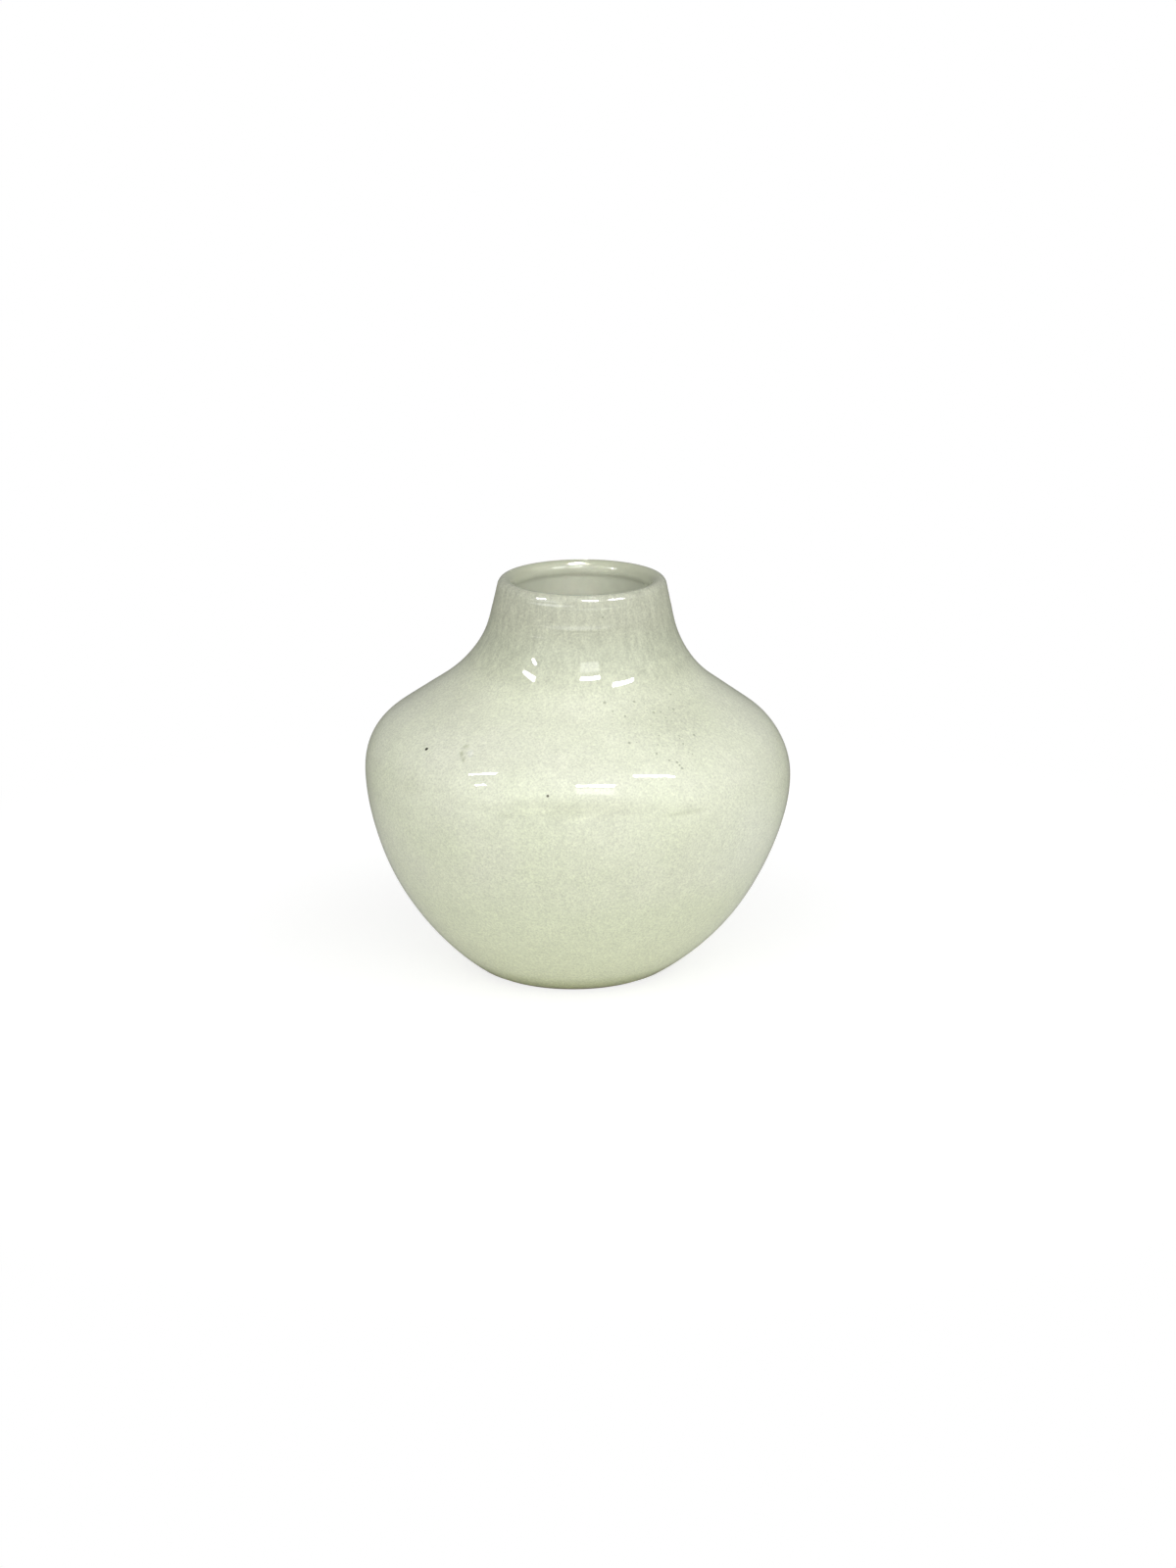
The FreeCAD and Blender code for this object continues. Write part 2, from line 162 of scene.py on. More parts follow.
def lipLine(depth):
    start, end = rounds["lip"]["from"], rounds["lip"]["to"]
    low, high = (lipBand["facing"] + side * lipBand["spread"] / 2 for side in (-1, 1))
    turns = [(start, low), (low, high), (high, end)]
    corner = [normalAt(to) - normalAt(fro) for fro, to in turns]
    whole = rounds["lip"]["radius"] * (normalAt(end) - normalAt(start))
    across = np.c_[corner[0], corner[2]]
    first, last = np.linalg.solve(across, whole - lipBand["round"] * corner[1])
    place = rounds["lip"]["centre"] + rounds["lip"]["radius"] * normalAt(start)
    points, facings = [place], [start]
    for (fro, to), radius in zip(turns, (first, lipBand["round"], last)):
        steps = np.linspace(fro, to, max(4, int(abs(to - fro) / lipBand["turnStep"])))[1:]
        points += [place + radius * (normalAt(angle) - normalAt(fro)) for angle in steps]
        facings += list(steps)
        place = points[-1]
    return np.array([point - depth * normalAt(angle) for point, angle in zip(points, facings)])


neckFrom = 168  # height in mm above which the outline has finer steps, for the rings and the lip
throatStep = 0.4


def outsideLine(depth, step, neckStep=None):
    parts = [roundPoints(rounds[name], depth) for name in ("wall", "belly", "shoulder", "hollow")]
    neckTop = lipLine(depth)
    body = ribbed(np.vstack([*parts, neckTop[:1]]))
    onNeck = body[:, 1] > neckFrom
    lower = evenSteps(body[~onNeck], step)
    upper = evenSteps(np.vstack([lower[-1:], body[onNeck]]), neckStep or step)
    return np.vstack([lower[:-1], upper[:-1], neckTop])


# The liner's face from the crown down to the middle of the floor, or the clay behind it.
def insideLine(behind, step):
    depth = jarLine["wall"] - behind
    floorHeight, floorRadius = jarLine["floorHeight"], jarLine["floorRound"]
    wall = rounds["wall"]
    reach = wall["radius"] - jarLine["wall"] - floorRadius
    drop = wall["centre"][1] - floorHeight - floorRadius
    across = math.sqrt(reach ** 2 - drop ** 2)
    cornerAngle = math.degrees(math.atan2(-drop, across))
    bend = {"centre": wall["centre"] + np.array([across, -drop]), "radius": floorRadius + behind,
            "from": cornerAngle, "to": -90, "hollow": False}
    throat = np.vstack([roundPoints(rounds[name], behind, throatStep / 2) for name in ("roll", "ease")])
    lower = {**wall, "from": cornerAngle}
    back = [roundPoints(item, depth)[::-1]
            for item in (rounds["hollow"], rounds["shoulder"], rounds["belly"], lower)]
    body = evenSteps(ribbed(np.vstack([throat[-1:], *back, roundPoints(bend)])), step)
    middle = np.array([[0, floorHeight - behind]])
    flat = evenSteps(np.vstack([body[-1:], middle]), 4 * step)
    return np.vstack([evenSteps(throat, throatStep)[:-1], body[:-1], flat])


# How far the jar leans off the wheel's axis at shares of its height: it was thrown by hand.
wander = {
    "heightShares": [0.0, 0.12, 0.25, 0.5, 0.62, 0.72, 0.85, 1.0],
    "sideways": [-2.2, -0.9, -0.6, -0.1, -1.3, -0.6, 1.3, 1.9],
    "ovalShare": 0.004,
    "ovalTurn": 35.0,
    "fullShares": [0.0, 0.58, 0.67, 0.723, 0.777, 0.86, 1.0],
    "fuller": [0.0, 0.0, 0.9, 1.3, 1.0, 0.0, 0.0],  # mm that the shoulder swells
    "fullBeyond": 60,  # mm from the axis where the swell is whole
}


def smoothThrough(places, knots, values):
    knots, values = np.array(knots), np.array(values)
    slopes = np.gradient(values, knots)
    index = np.clip(np.searchsorted(knots, places, "right") - 1, 0, len(knots) - 2)
    span = knots[index + 1] - knots[index]
    part = np.clip((places - knots[index]) / span, 0, 1)
    rise = values[index + 1] - values[index]
    startSlope, endSlope = slopes[index] * span, slopes[index + 1] * span
    return (values[index] + part * startSlope + part ** 2 * (3 * rise - 2 * startSlope - endSlope)
            + part ** 3 * (startSlope + endSlope - 2 * rise))


def handThrown(points):
    height = rounds["crown"][1]
    shares = points[:, 2] / height
    turn = np.arctan2(points[:, 1], points[:, 0])
    oval = 1 + wander["ovalShare"] * np.cos(2 * turn - math.radians(wander["ovalTurn"]))
    swell = (smoothThrough(shares, wander["fullShares"], wander["fuller"]) * np.cos(turn) ** 4
             * np.clip(np.hypot(points[:, 0], points[:, 1]) / wander["fullBeyond"], 0, 1))
    moved = points.copy()
    moved[:, 0] = (points[:, 0] * oval + swell * np.cos(turn)
                   + smoothThrough(shares, wander["heightShares"], wander["sideways"]))
    moved[:, 1] = points[:, 1] * oval + swell * np.sin(turn)
    return moved


sharpAngle = math.radians(35)


def finishPiece(name, points, faces, node):
    mesh = bpy.data.meshes.new(name)
    mesh.from_pydata((handThrown(points) * mm).tolist(), [], faces)
    mesh.validate()
    mesh.shade_smooth()
    mesh.set_sharp_from_angle(angle=sharpAngle)
    piece = bpy.data.objects.new(name, mesh)
    bpy.context.collection.objects.link(piece)
    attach(piece, "root")
    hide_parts(node)
    print("made", name, "with", len(faces), "faces")
    return piece


# Turns a closed section, walked with the solid on its left, round the wheel's axis. The relief moves only
# the section's first rows, which are the piece's face.
def turnedPiece(name, section, node, sides=256, relief=None, reliefRows=0):
    angles = np.arange(sides) * 2 * math.pi / sides
    around = np.c_[np.cos(angles), np.sin(angles)]
    points, rings = [], []
    for number, (radius, height) in enumerate(section):
        if radius < 1e-6:
            rings.append([len(points)] * sides)
            points.append((0.0, 0.0, height))
            continue
        rings.append(list(range(len(points), len(points) + sides)))
        rise = relief(height, angles) if number < reliefRows else 0 * angles
        points += np.c_[around * np.reshape(radius + rise, (-1, 1)), np.full(sides, height)].tolist()
    faces = []
    for low, high in zip(rings, rings[1:] + rings[:1]):
        if low[0] == low[1] and high[0] == high[1]:
            continue
        for side in range(sides):
            after = (side + 1) % sides
            corners = [low[side], low[after], high[after], high[side]]
            faces.append([c for n, c in enumerate(corners) if c != corners[n - 1]])
    return finishPiece(name, np.array(points), faces, node)


# Pieces hidden in the wall keep the solids of the frame, moved with the same lean.
def hiddenPiece(node):
    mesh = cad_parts[node].data
    points = np.zeros(len(mesh.vertices) * 3)
    mesh.vertices.foreach_get("co", points)
    faces = [list(face.vertices) for face in mesh.polygons]
    piece = finishPiece(node + "_fired", points.reshape(-1, 3) / mm, faces, node)
    piece.data.shade_flat()
    return piece


# One node with its settings and its links.
def addNode(tree, kind, settings=None, links=None):
    node = tree.nodes.new(kind)
    for name, value in (settings or {}).items():
        if isinstance(name, str) and hasattr(node, name):
            setattr(node, name, value)
        else:
            node.inputs[name].default_value = value
    for name, source in (links or {}).items():
        tree.links.new(source, node.inputs[name])
    return node


def linear(hexColour):
    channels = [int(hexColour[i:i + 2], 16) / 255 for i in (0, 2, 4)]
    curved = [c / 12.92 if c <= 0.04045 else ((c + 0.055) / 1.055) ** 2.4 for c in channels]
    return (*curved, 1.0)


def newMaterial(name):
    material = bpy.data.materials.new(name)
    material.use_nodes = True
    tree = material.node_tree
    tree.nodes.clear()
    output = addNode(tree, "ShaderNodeOutputMaterial")
    return material, tree, output


# Celadon glaze on porcelain: iron-tinted glass fired over a white body, dipped in one coat. It ran thin on
# the shoulder, so it gives the eye a milky pale green that deepens downwards and is greyer round the neck,
# under sharp small highlights. Tones stand at shares of the jar's height; the darkest, at the hem, is pooled
# glaze with painted contact shade.
celadonGlaze = {
    "tones": [(0.0, "C0C691"), (0.06, "EFF3D5"), (0.267, "EFF4D7"), (0.5, "F1F6DA"), (0.667, "FAFEE5"),
              (0.757, "F4F8DE"), (0.8, "E3E7CD"), (0.864, "D4D8C0"), (0.933, "D2D4BE"), (1.0, "D4D6C1")],
    "milky": "F6F3E8",
    "milkyRises": (45, 70),  # heights in mm between which the milky clouds come in, and go
    "milkyFades": (155, 135),
    "neckHeights": (138, 155),  # and between which the runs of the neck come in
    "clouds": {"size": 34, "low": 0.0, "high": 0.3, "detail": 3.0},  # size in mm and shares of the milky tone
    # Shades of the tone: their size in mm and the least and most that they multiply it by. The bubbles in
    # a celadon are under 0.2 mm, too fine for the picture, so grain, fine and rough are drawn coarser.
    "patches": {"size": 13, "low": 0.975, "high": 1.015},
    "blotches": {"size": 5, "low": 0.97, "high": 1.02},
    "grain": {"size": 1.3, "low": 0.915, "high": 1.065},
    "fine": {"size": 0.8, "low": 0.9, "high": 1.1},
    "rough": {"size": 1.8, "low": 0.88, "high": 1.08},
    "runs": {"size": 2.6, "low": 0.915, "high": 1.08, "stretch": (1, 1, 0.15)},
    "streaks": {"size": 3.5, "low": 0.89, "high": 1.06, "stretch": (0.3, 0.3, 1), "detail": 4.0},
    "rippleSize": 9,  # mm, as is the depth
    "rippleDepth": 0.0025,
    "roughness": 0.03,
    "ior": 1.5,
}

# Marks on the glaze, from the firing and some of painted shade and highlight: place and half sizes in mm,
# tone, how full it is and how soft its edge.
glazeMarks = [
    {"name": "ironSpeck", "at": (-68.6, -56.0, 120.6), "half": (1.05, 1.05, 1.05), "tone": "2C2818",
     "share": 1.0, "soft": 0.35},
    {"name": "smallIronSpeck", "at": (-13.3, -94.9, 110.2), "half": (0.8, 0.8, 0.8), "tone": "4A4432",
     "share": 0.95, "soft": 0.5},
    {"name": "paleHaze", "at": (-71.0, -58.5, 119.5), "half": (3.4, 3.4, 1.8), "tone": "FAFCEC",
     "share": 0.45, "soft": 0.9},
    {"name": "dullBlotch", "at": (-75.3, -63.7, 106.4), "half": (13.0, 11.0, 8.0), "tone": "DCE0C2",
     "share": 0.2, "soft": 0.95},
    # The scar has no relief: its three darker marks are the scar with painted shade on its left side, and the
    # pale one is painted highlight on its right side.
    {"name": "scarAndShadeTop", "at": (-50.6, -65.6, 124.8), "half": (2.6, 2.0, 2.0), "tone": "C4C9A8",
     "share": 0.6, "soft": 0.9},
    {"name": "scarAndShadeMiddle", "at": (-52.3, -68.6, 122.2), "half": (1.5, 2.8, 2.6), "tone": "BABF9D",
     "share": 0.65, "soft": 0.9},
    {"name": "scarAndShadeFoot", "at": (-51.4, -71.8, 120.4), "half": (1.4, 2.4, 2.2), "tone": "BEC3A2",
     "share": 0.6, "soft": 0.9},
    {"name": "scarPaintedHighlight", "at": (-48.3, -70.3, 122.7), "half": (2.2, 3.6, 3.0), "tone": "FCFEF0",
     "share": 0.85, "soft": 0.9},
    {"name": "neckSpeck", "at": (11.3, -39.4, 178.0), "half": (0.6, 0.6, 0.6), "tone": "8E9178",
     "share": 0.7, "soft": 0.6},
    # The pale streaks round the lip and neck are glaze breaking thin over the throwing ridges, and partly
    # painted highlight on those ridges.
    {"name": "lipStreakAndHighlight", "at": (-15.0, -34.8, 184.6), "half": (15.0, 9.0, 0.5), "tone": "FAFCF0",
     "share": 0.6, "soft": 0.9},
    {"name": "rimStreakAndHighlight", "at": (-13.0, -35.8, 183.0), "half": (18.0, 9.0, 0.9), "tone": "F8FAEC",
     "share": 0.85, "soft": 0.9},
    {"name": "rimStreakAndHighlightEnd", "at": (8.0, -39.0, 181.8), "half": (22.0, 9.0, 0.8), "tone": "ECEFDF",
     "share": 0.4, "soft": 0.9},
    {"name": "neckRingAndHighlight", "at": (-1.0, -40.0, 173.4), "half": (24.0, 10.0, 1.4), "tone": "E9EBDB",
     "share": 0.65, "soft": 0.9},
    # Under the neck ring: painted shade below its ridge, and partly glaze pooled in the groove.
    {"name": "neckRingShadeAndPool", "at": (2.0, -41.0, 171.8), "half": (14.0, 6.0, 0.6), "tone": "B2B59C",
     "share": 0.5, "soft": 0.9},
    # Another pale streak on a throwing ridge, partly painted highlight.
    {"name": "lowStreakAndHighlight", "at": (-18.0, -37.5, 168.4), "half": (7.0, 5.0, 0.5), "tone": "E8EADA",
     "share": 0.5, "soft": 0.9},
    # A lighter patch over the lower right of the belly.
    {"name": "paleLowerRight", "at": (82.0, -58.0, 78.0), "half": (44.0, 50.0, 42.0), "tone": "FCFFEC",
     "share": 0.6, "soft": 0.95},
    # A darker band across the front, just above the widest part of the belly.
    {"name": "bellyDarkBand", "at": (2.0, -97.0, 105.5), "half": (52.0, 16.0, 6.5), "tone": "D3D6B8",
     "share": 0.42, "soft": 0.95},
    {"name": "beltSmear", "at": (49.0, -87.0, 99.8), "half": (20.0, 16.0, 1.7), "tone": "C6CAAC",
     "share": 0.4, "soft": 0.9},
    {"name": "beltDot", "at": (-32.0, -94.6, 100.6), "half": (6.0, 5.0, 2.0), "tone": "C6CAAC",
     "share": 0.3, "soft": 0.9},
    {"name": "rightThin", "at": (48.0, -50.0, 140.0), "half": (42.0, 40.0, 30.0), "tone": "D9DDC2",
     "share": 0.42, "soft": 0.95},
    {"name": "leftThin", "at": (-60.0, -40.0, 140.0), "half": (32.0, 42.0, 26.0), "tone": "D9DDC2",
     "share": 0.3, "soft": 0.95},
]
# Where the dip was held, thin streaks of glaze run across the belly.
bellyStreaks = {"at": (-6.0, -92.0, 102.0), "half": (80.0, 60.0, 9.0), "share": 1.0, "soft": 0.8}

# Burst bubbles, which show as small dull dots on one side of the shoulder, and a short scratch among them.
pinholes = {
    "places": [(42.2, -39.5, 141.7), (25.5, -51.7, 141.8), (12.1, -55.7, 142.4), (21.4, -59.4, 137.0),
               (34.4, -52.9, 137.0), (15.7, -58.5, 139.1), (43.4, -46.5, 136.6), (23.1, -72.2, 128.2),
               (47.5, -63.9, 125.4), (52.6, -56.1, 127.3), (41.1, -75.4, 121.0), (35.4, -74.1, 123.8),
               (44.6, -74.9, 119.9), (45.7, -75.7, 118.8), (46.8, -76.4, 117.6)],
    "radius": 0.85,  # mm, times 0.8 to 1.2
    "leastSize": 0.8,
    "moreSize": 0.4,
    "dotShare": 0.6,
    "tone": "9DA286",
    "at": (40.0, -58.0, 131.0),  # the patch of finer dots round them
    "half": (34.0, 28.0, 24.0),
    "soft": 0.7,
    "share": 0.65,
    "spacing": 3.2,
    "size": 0.5,
    "core": 0.4,
}
for number, spot in enumerate(pinholes["places"]):
    dotRadius = pinholes["radius"] * (pinholes["leastSize"] + pinholes["moreSize"] * ((number * 7) % 5) / 4)
    glazeMarks.append({"name": "pinhole", "at": spot, "half": (dotRadius, dotRadius, dotRadius),
                       "tone": pinholes["tone"], "share": pinholes["dotShare"], "soft": pinholes["soft"]})

smooth = {"interpolation_type": "SMOOTHSTEP"}  # for shares that come in softly
ofColours = {"data_type": "RGBA"}  # for tints laid over a tone where their share says


def markShare(tree, place, mark):
    half = Vector(mark["half"]) * mm
    centre = Vector(mark["at"]) * mm
    inMark = addNode(tree, "ShaderNodeVectorMath",
                     {"operation": "MULTIPLY_ADD", 1: [1 / h for h in half],
                      2: [-c / h for c, h in zip(centre, half)]}, {0: place}).outputs["Vector"]
    reach = addNode(tree, "ShaderNodeVectorMath", {"operation": "LENGTH"}, {0: inMark}).outputs["Value"]
    return addNode(tree, "ShaderNodeMapRange",
                   {**smooth, "From Min": 1.0, "From Max": 1 - mark["soft"], "To Max": mark["share"]},
                   {"Value": reach}).outputs["Result"]


noiseSpan = (0.3, 0.7)  # nearly all of the noise lies between these


# Cloudiness as it forms in the kiln, of one size, between the least and the most of a shade.
def mottle(tree, place, shade):
    if "stretch" in shade:
        place = addNode(tree, "ShaderNodeVectorMath", {"operation": "MULTIPLY", 1: shade["stretch"]},
                        {0: place}).outputs["Vector"]
    noise = addNode(tree, "ShaderNodeTexNoise",
                    {"Scale": 1 / (shade["size"] * mm), "Detail": shade.get("detail", 2.0)},
                    {"Vector": place}).outputs["Fac"]
    return addNode(tree, "ShaderNodeMapRange",
                   {"From Min": noiseSpan[0], "From Max": noiseSpan[1],
                    "To Min": shade["low"], "To Max": shade["high"]}, {"Value": noise}).outputs["Result"]


def celadonMaterial():
    look = celadonGlaze
    material, tree, output = newMaterial("celadonGlazeOnPorcelain")
    place = addNode(tree, "ShaderNodeTexCoord").outputs["Object"]
    height = addNode(tree, "ShaderNodeSeparateXYZ", links={"Vector": place}).outputs["Z"]
    upJar = addNode(tree, "ShaderNodeMapRange", {"From Max": rounds["crown"][1] * mm}, {"Value": height})
    ramp = addNode(tree, "ShaderNodeValToRGB", links={"Fac": upJar.outputs["Result"]})
    stops = ramp.color_ramp.elements
    for number, (stop, hexTone) in enumerate(look["tones"]):
        element = stops[number] if number < 2 else stops.new(stop)
        element.position, element.color = stop, linear(hexTone)
    tone = ramp.outputs["Color"]

    rises, fades, onNeck = (
        addNode(tree, "ShaderNodeMapRange", {**smooth, "From Min": start * mm, "From Max": full * mm},
                {"Value": height}).outputs["Result"]
        for start, full in (look["milkyRises"], look["milkyFades"], look["neckHeights"]))
    milkyShare = mottle(tree, place, look["clouds"])
    for heightShare in (rises, fades):
        milkyShare = addNode(tree, "ShaderNodeMath", {"operation": "MULTIPLY"},
                             {0: milkyShare, 1: heightShare}).outputs[0]
    tone = addNode(tree, "ShaderNodeMix", {**ofColours, "B": linear(look["milky"])},
                   {"Factor": milkyShare, "A": tone}).outputs["Result"]

    for mark in glazeMarks:
        tone = addNode(tree, "ShaderNodeMix", {**ofColours, "B": linear(mark["tone"])},
                       {"Factor": markShare(tree, place, mark), "A": tone}).outputs["Result"]
    bubbles = addNode(tree, "ShaderNodeTexVoronoi", {"Scale": 1 / (pinholes["spacing"] * mm)},
                      {"Vector": place}).outputs["Distance"]
    dotSize = pinholes["size"] / pinholes["spacing"]
    dots = addNode(tree, "ShaderNodeMapRange",
                   {**smooth, "From Min": dotSize, "From Max": dotSize * pinholes["core"]},
                   {"Value": bubbles}).outputs["Result"]
    amongDots = markShare(tree, place, pinholes)
    dotShare = addNode(tree, "ShaderNodeMath", {"operation": "MULTIPLY"}, {0: dots, 1: amongDots})
    tone = addNode(tree, "ShaderNodeMix", {**ofColours, "B": linear(pinholes["tone"])},
                   {"Factor": dotShare.outputs[0], "A": tone}).outputs["Result"]

    # Some shades lie all over the jar, and some only where their share is.
    onBelt = markShare(tree, place, bellyStreaks)
    shade = mottle(tree, place, look["blotches"])
    for name, share in (("patches", None), ("grain", None), ("fine", None), ("rough", amongDots),
                        ("runs", onNeck), ("streaks", onBelt)):
        part = mottle(tree, place, look[name])
        if share is not None:
            part = addNode(tree, "ShaderNodeMix", {"A": 1.0}, {"Factor": share, "B": part}).outputs["Result"]
        shade = addNode(tree, "ShaderNodeMath", {"operation": "MULTIPLY"}, {0: shade, 1: part}).outputs[0]
    toned = addNode(tree, "ShaderNodeVectorMath", {"operation": "SCALE"}, {0: tone, "Scale": shade})

    ripple = addNode(tree, "ShaderNodeTexNoise", {"Scale": 1 / (look["rippleSize"] * mm), "Detail": 1.0},
                     {"Vector": place})
    bump = addNode(tree, "ShaderNodeBump", {"Distance": look["rippleDepth"] * mm},
                   {"Height": ripple.outputs["Fac"]})
    shader = addNode(tree, "ShaderNodeBsdfPrincipled",
                     {"Roughness": look["roughness"], "IOR": look["ior"]},
                     {"Base Color": toned.outputs["Vector"], "Normal": bump.outputs["Normal"]})
    tree.links.new(shader.outputs["BSDF"], output.inputs["Surface"])
    return material


# Liner glaze: the same glass, poured in and turned out again, thin enough to show the white body. It gives
# the eye a pale inside, turning greyer up the roll towards the crown.
linerLook = {
    "inside": "F3F6E2",
    "roll": "CDD0B8",
    "rollHeights": (180, 186),  # mm, between which it turns greyer
    "grain": {"size": 4, "low": 0.975, "high": 1.015},
    "roughness": 0.035,
    "ior": 1.5,
}


def linerMaterial():
    look = linerLook
    material, tree, output = newMaterial("pouredLinerGlaze")
    place = addNode(tree, "ShaderNodeTexCoord").outputs["Object"]
    height = addNode(tree, "ShaderNodeSeparateXYZ", links={"Vector": place}).outputs["Z"]
    start, full = look["rollHeights"]
    onRoll = addNode(tree, "ShaderNodeMapRange", {**smooth, "From Min": start * mm, "From Max": full * mm},
                     {"Value": height}).outputs["Result"]
    tone = addNode(tree, "ShaderNodeMix",
                   {**ofColours, "A": linear(look["inside"]), "B": linear(look["roll"])},
                   {"Factor": onRoll}).outputs["Result"]
    grain = mottle(tree, place, look["grain"])
    toned = addNode(tree, "ShaderNodeVectorMath", {"operation": "SCALE"}, {0: tone, "Scale": grain})
    shader = addNode(tree, "ShaderNodeBsdfPrincipled", {"Roughness": look["roughness"], "IOR": look["ior"]},
                     {"Base Color": toned.outputs["Vector"]})
    tree.links.new(shader.outputs["BSDF"], output.inputs["Surface"])
    return material


# Bare porcelain, wiped clean of glaze and fired: matt. Faces that look down on the foot turn a mottled
# olive-brown, partly kiln flash and partly painted contact shade.
barePorcelain = {
    "clay": "CFC8B4",
    "undersideShade": "857B55",
    "shadeFacing": (-0.95, -0.6),  # how far down a face looks where the painted shade starts, and where it is full
    "shadeMost": 0.9,
    "shadeMottle": {"size": 9, "low": 0.7, "high": 1.0, "detail": 4.0},
    "grainSize": 0.8,
    "grainDepth": 0.05,
    "grainStrength": 0.6,
    "roughness": 0.75,
}


def bareMaterial():
    look = barePorcelain
    material, tree, output = newMaterial("barePorcelain")
    place = addNode(tree, "ShaderNodeTexCoord").outputs["Object"]
    normal = addNode(tree, "ShaderNodeNewGeometry").outputs["Normal"]
    facing = addNode(tree, "ShaderNodeSeparateXYZ", links={"Vector": normal}).outputs["Z"]
    start, full = look["shadeFacing"]
    # Painted contact shade, partly kiln flash, on faces that look down.
    outer = addNode(tree, "ShaderNodeMapRange",
                    {**smooth, "From Min": start, "From Max": full, "To Max": look["shadeMost"]},
                    {"Value": facing}).outputs["Result"]
    undersideShadeShare = addNode(tree, "ShaderNodeMath", {"operation": "MULTIPLY"},
                         {0: outer, 1: mottle(tree, place, look["shadeMottle"])}).outputs[0]
    tone = addNode(tree, "ShaderNodeMix",
                   {**ofColours, "A": linear(look["clay"]), "B": linear(look["undersideShade"])},
                   {"Factor": undersideShadeShare}).outputs["Result"]
    grain = addNode(tree, "ShaderNodeTexNoise", {"Scale": 1 / (look["grainSize"] * mm), "Detail": 4.0},
                    {"Vector": place})
    bump = addNode(tree, "ShaderNodeBump",
                   {"Distance": look["grainDepth"] * mm, "Strength": look["grainStrength"]},
                   {"Height": grain.outputs["Fac"]})
    shader = addNode(tree, "ShaderNodeBsdfPrincipled", {"Roughness": look["roughness"]},
                     {"Base Color": tone, "Normal": bump.outputs["Normal"]})
    tree.links.new(shader.outputs["BSDF"], output.inputs["Surface"])
    return material


# The face of the outer coat isn't even: waves from the hand, and throwing rings on the neck.
surfaceWaves = {
    "depth": 0.02,  # mm at the most
    "waves": [(3, 0.084), (5, -0.132), (8, 0.188), (13, 0.24), (17, -0.32), (23, 0.44)],  # count, twist
    # A ring is fullest in one direction and fades over its reach, both in degrees. The rest is in mm.
    "rings": [
        {"height": 182.6, "depth": 0.06, "width": 0.6, "towards": -110, "reach": 70},
        {"height": 173.6, "depth": 0.09, "width": 0.8, "towards": -92, "reach": 75},
        {"height": 170.4, "depth": 0.05, "width": 0.7, "towards": -115, "reach": 45},
        {"height": 167.6, "depth": 0.05, "width": 0.8, "towards": -120, "reach": 45},
    ],
    "ringTilt": 0.25,
    "ringWobble": 0.125,
}


def glazeRelief(height, angles):
    waves = [np.cos(count * angles + height * twist + count) for count, twist in surfaceWaves["waves"]]
    relief = surfaceWaves["depth"] * sum(waves) / len(waves)
    for ring in surfaceWaves["rings"]:
        away = (np.degrees(angles) - ring["towards"] + 180) % 360 - 180
        dip = (surfaceWaves["ringTilt"] * np.cos(np.radians(away))
               + surfaceWaves["ringWobble"] * np.cos(3 * angles))
        share = np.exp(-0.5 * ((height - ring["height"] - dip) / ring["width"]) ** 2)
        relief = relief + ring["depth"] * share * np.exp(-0.5 * (away / ring["reach"]) ** 2)
    return relief


# The coats and the foot, which show. Steps along their lines are in mm, finer on the face than behind.
outerCoat = {"step": 1.3, "neckStep": 0.4, "backStep": 3.0, "hemHeight": 2.4, "hemEdge": 0.3, "sides": 300}
linerCoat = {"step": 1.6, "backStep": 4.0}
glazeLine = outsideLine(0.0, outerCoat["step"], outerCoat["neckStep"])
glazeBack = outsideLine(jarLine["coat"], outerCoat["backStep"])
glazeLine = glazeLine[glazeLine[:, 1] > outerCoat["hemHeight"] - outerCoat["hemEdge"]]
glazeBack = glazeBack[glazeBack[:, 1] > outerCoat["hemHeight"]]
outerGlaze = turnedPiece("outer_glaze_coat", np.vstack([glazeLine, glazeBack[::-1]]), "outer_glaze",
                         outerCoat["sides"], glazeRelief,
                         reliefRows=len(glazeLine) - 3)  # the crown keeps its round
linerFace = insideLine(0.0, linerCoat["step"])
linerBack = insideLine(jarLine["coat"], linerCoat["backStep"])
linerGlaze = turnedPiece("liner_glaze_coat", np.vstack([linerFace, linerBack[::-1]]), "liner_glaze")

# The foot: its ring, turned and wiped, and the coat in its well.
footLine = {
    "width": 9.0,
    "ringHeight": 6.0,
    "edgeRound": 3.0,
    "wellEdgeRound": 1.2,
    "wellRow": 3.6,  # height of a row of points on the ring's inner wall
    "baseHeight": 6.8,
    "wellHem": 2.0,
    "wellFillet": 1.4,
    "wellRows": (0.0, 8.0, 16.0, 24.0),  # radii of the rows under the floor, on the face and behind it
    "backRows": (24.0, 12.0, 0.0),
}


def cornerRound(centre, radius, fromAngle, toAngle, count=9):
    angles = np.radians(np.linspace(fromAngle, toAngle, count))
    return np.array(centre) + radius * np.c_[np.cos(angles), np.sin(angles)]


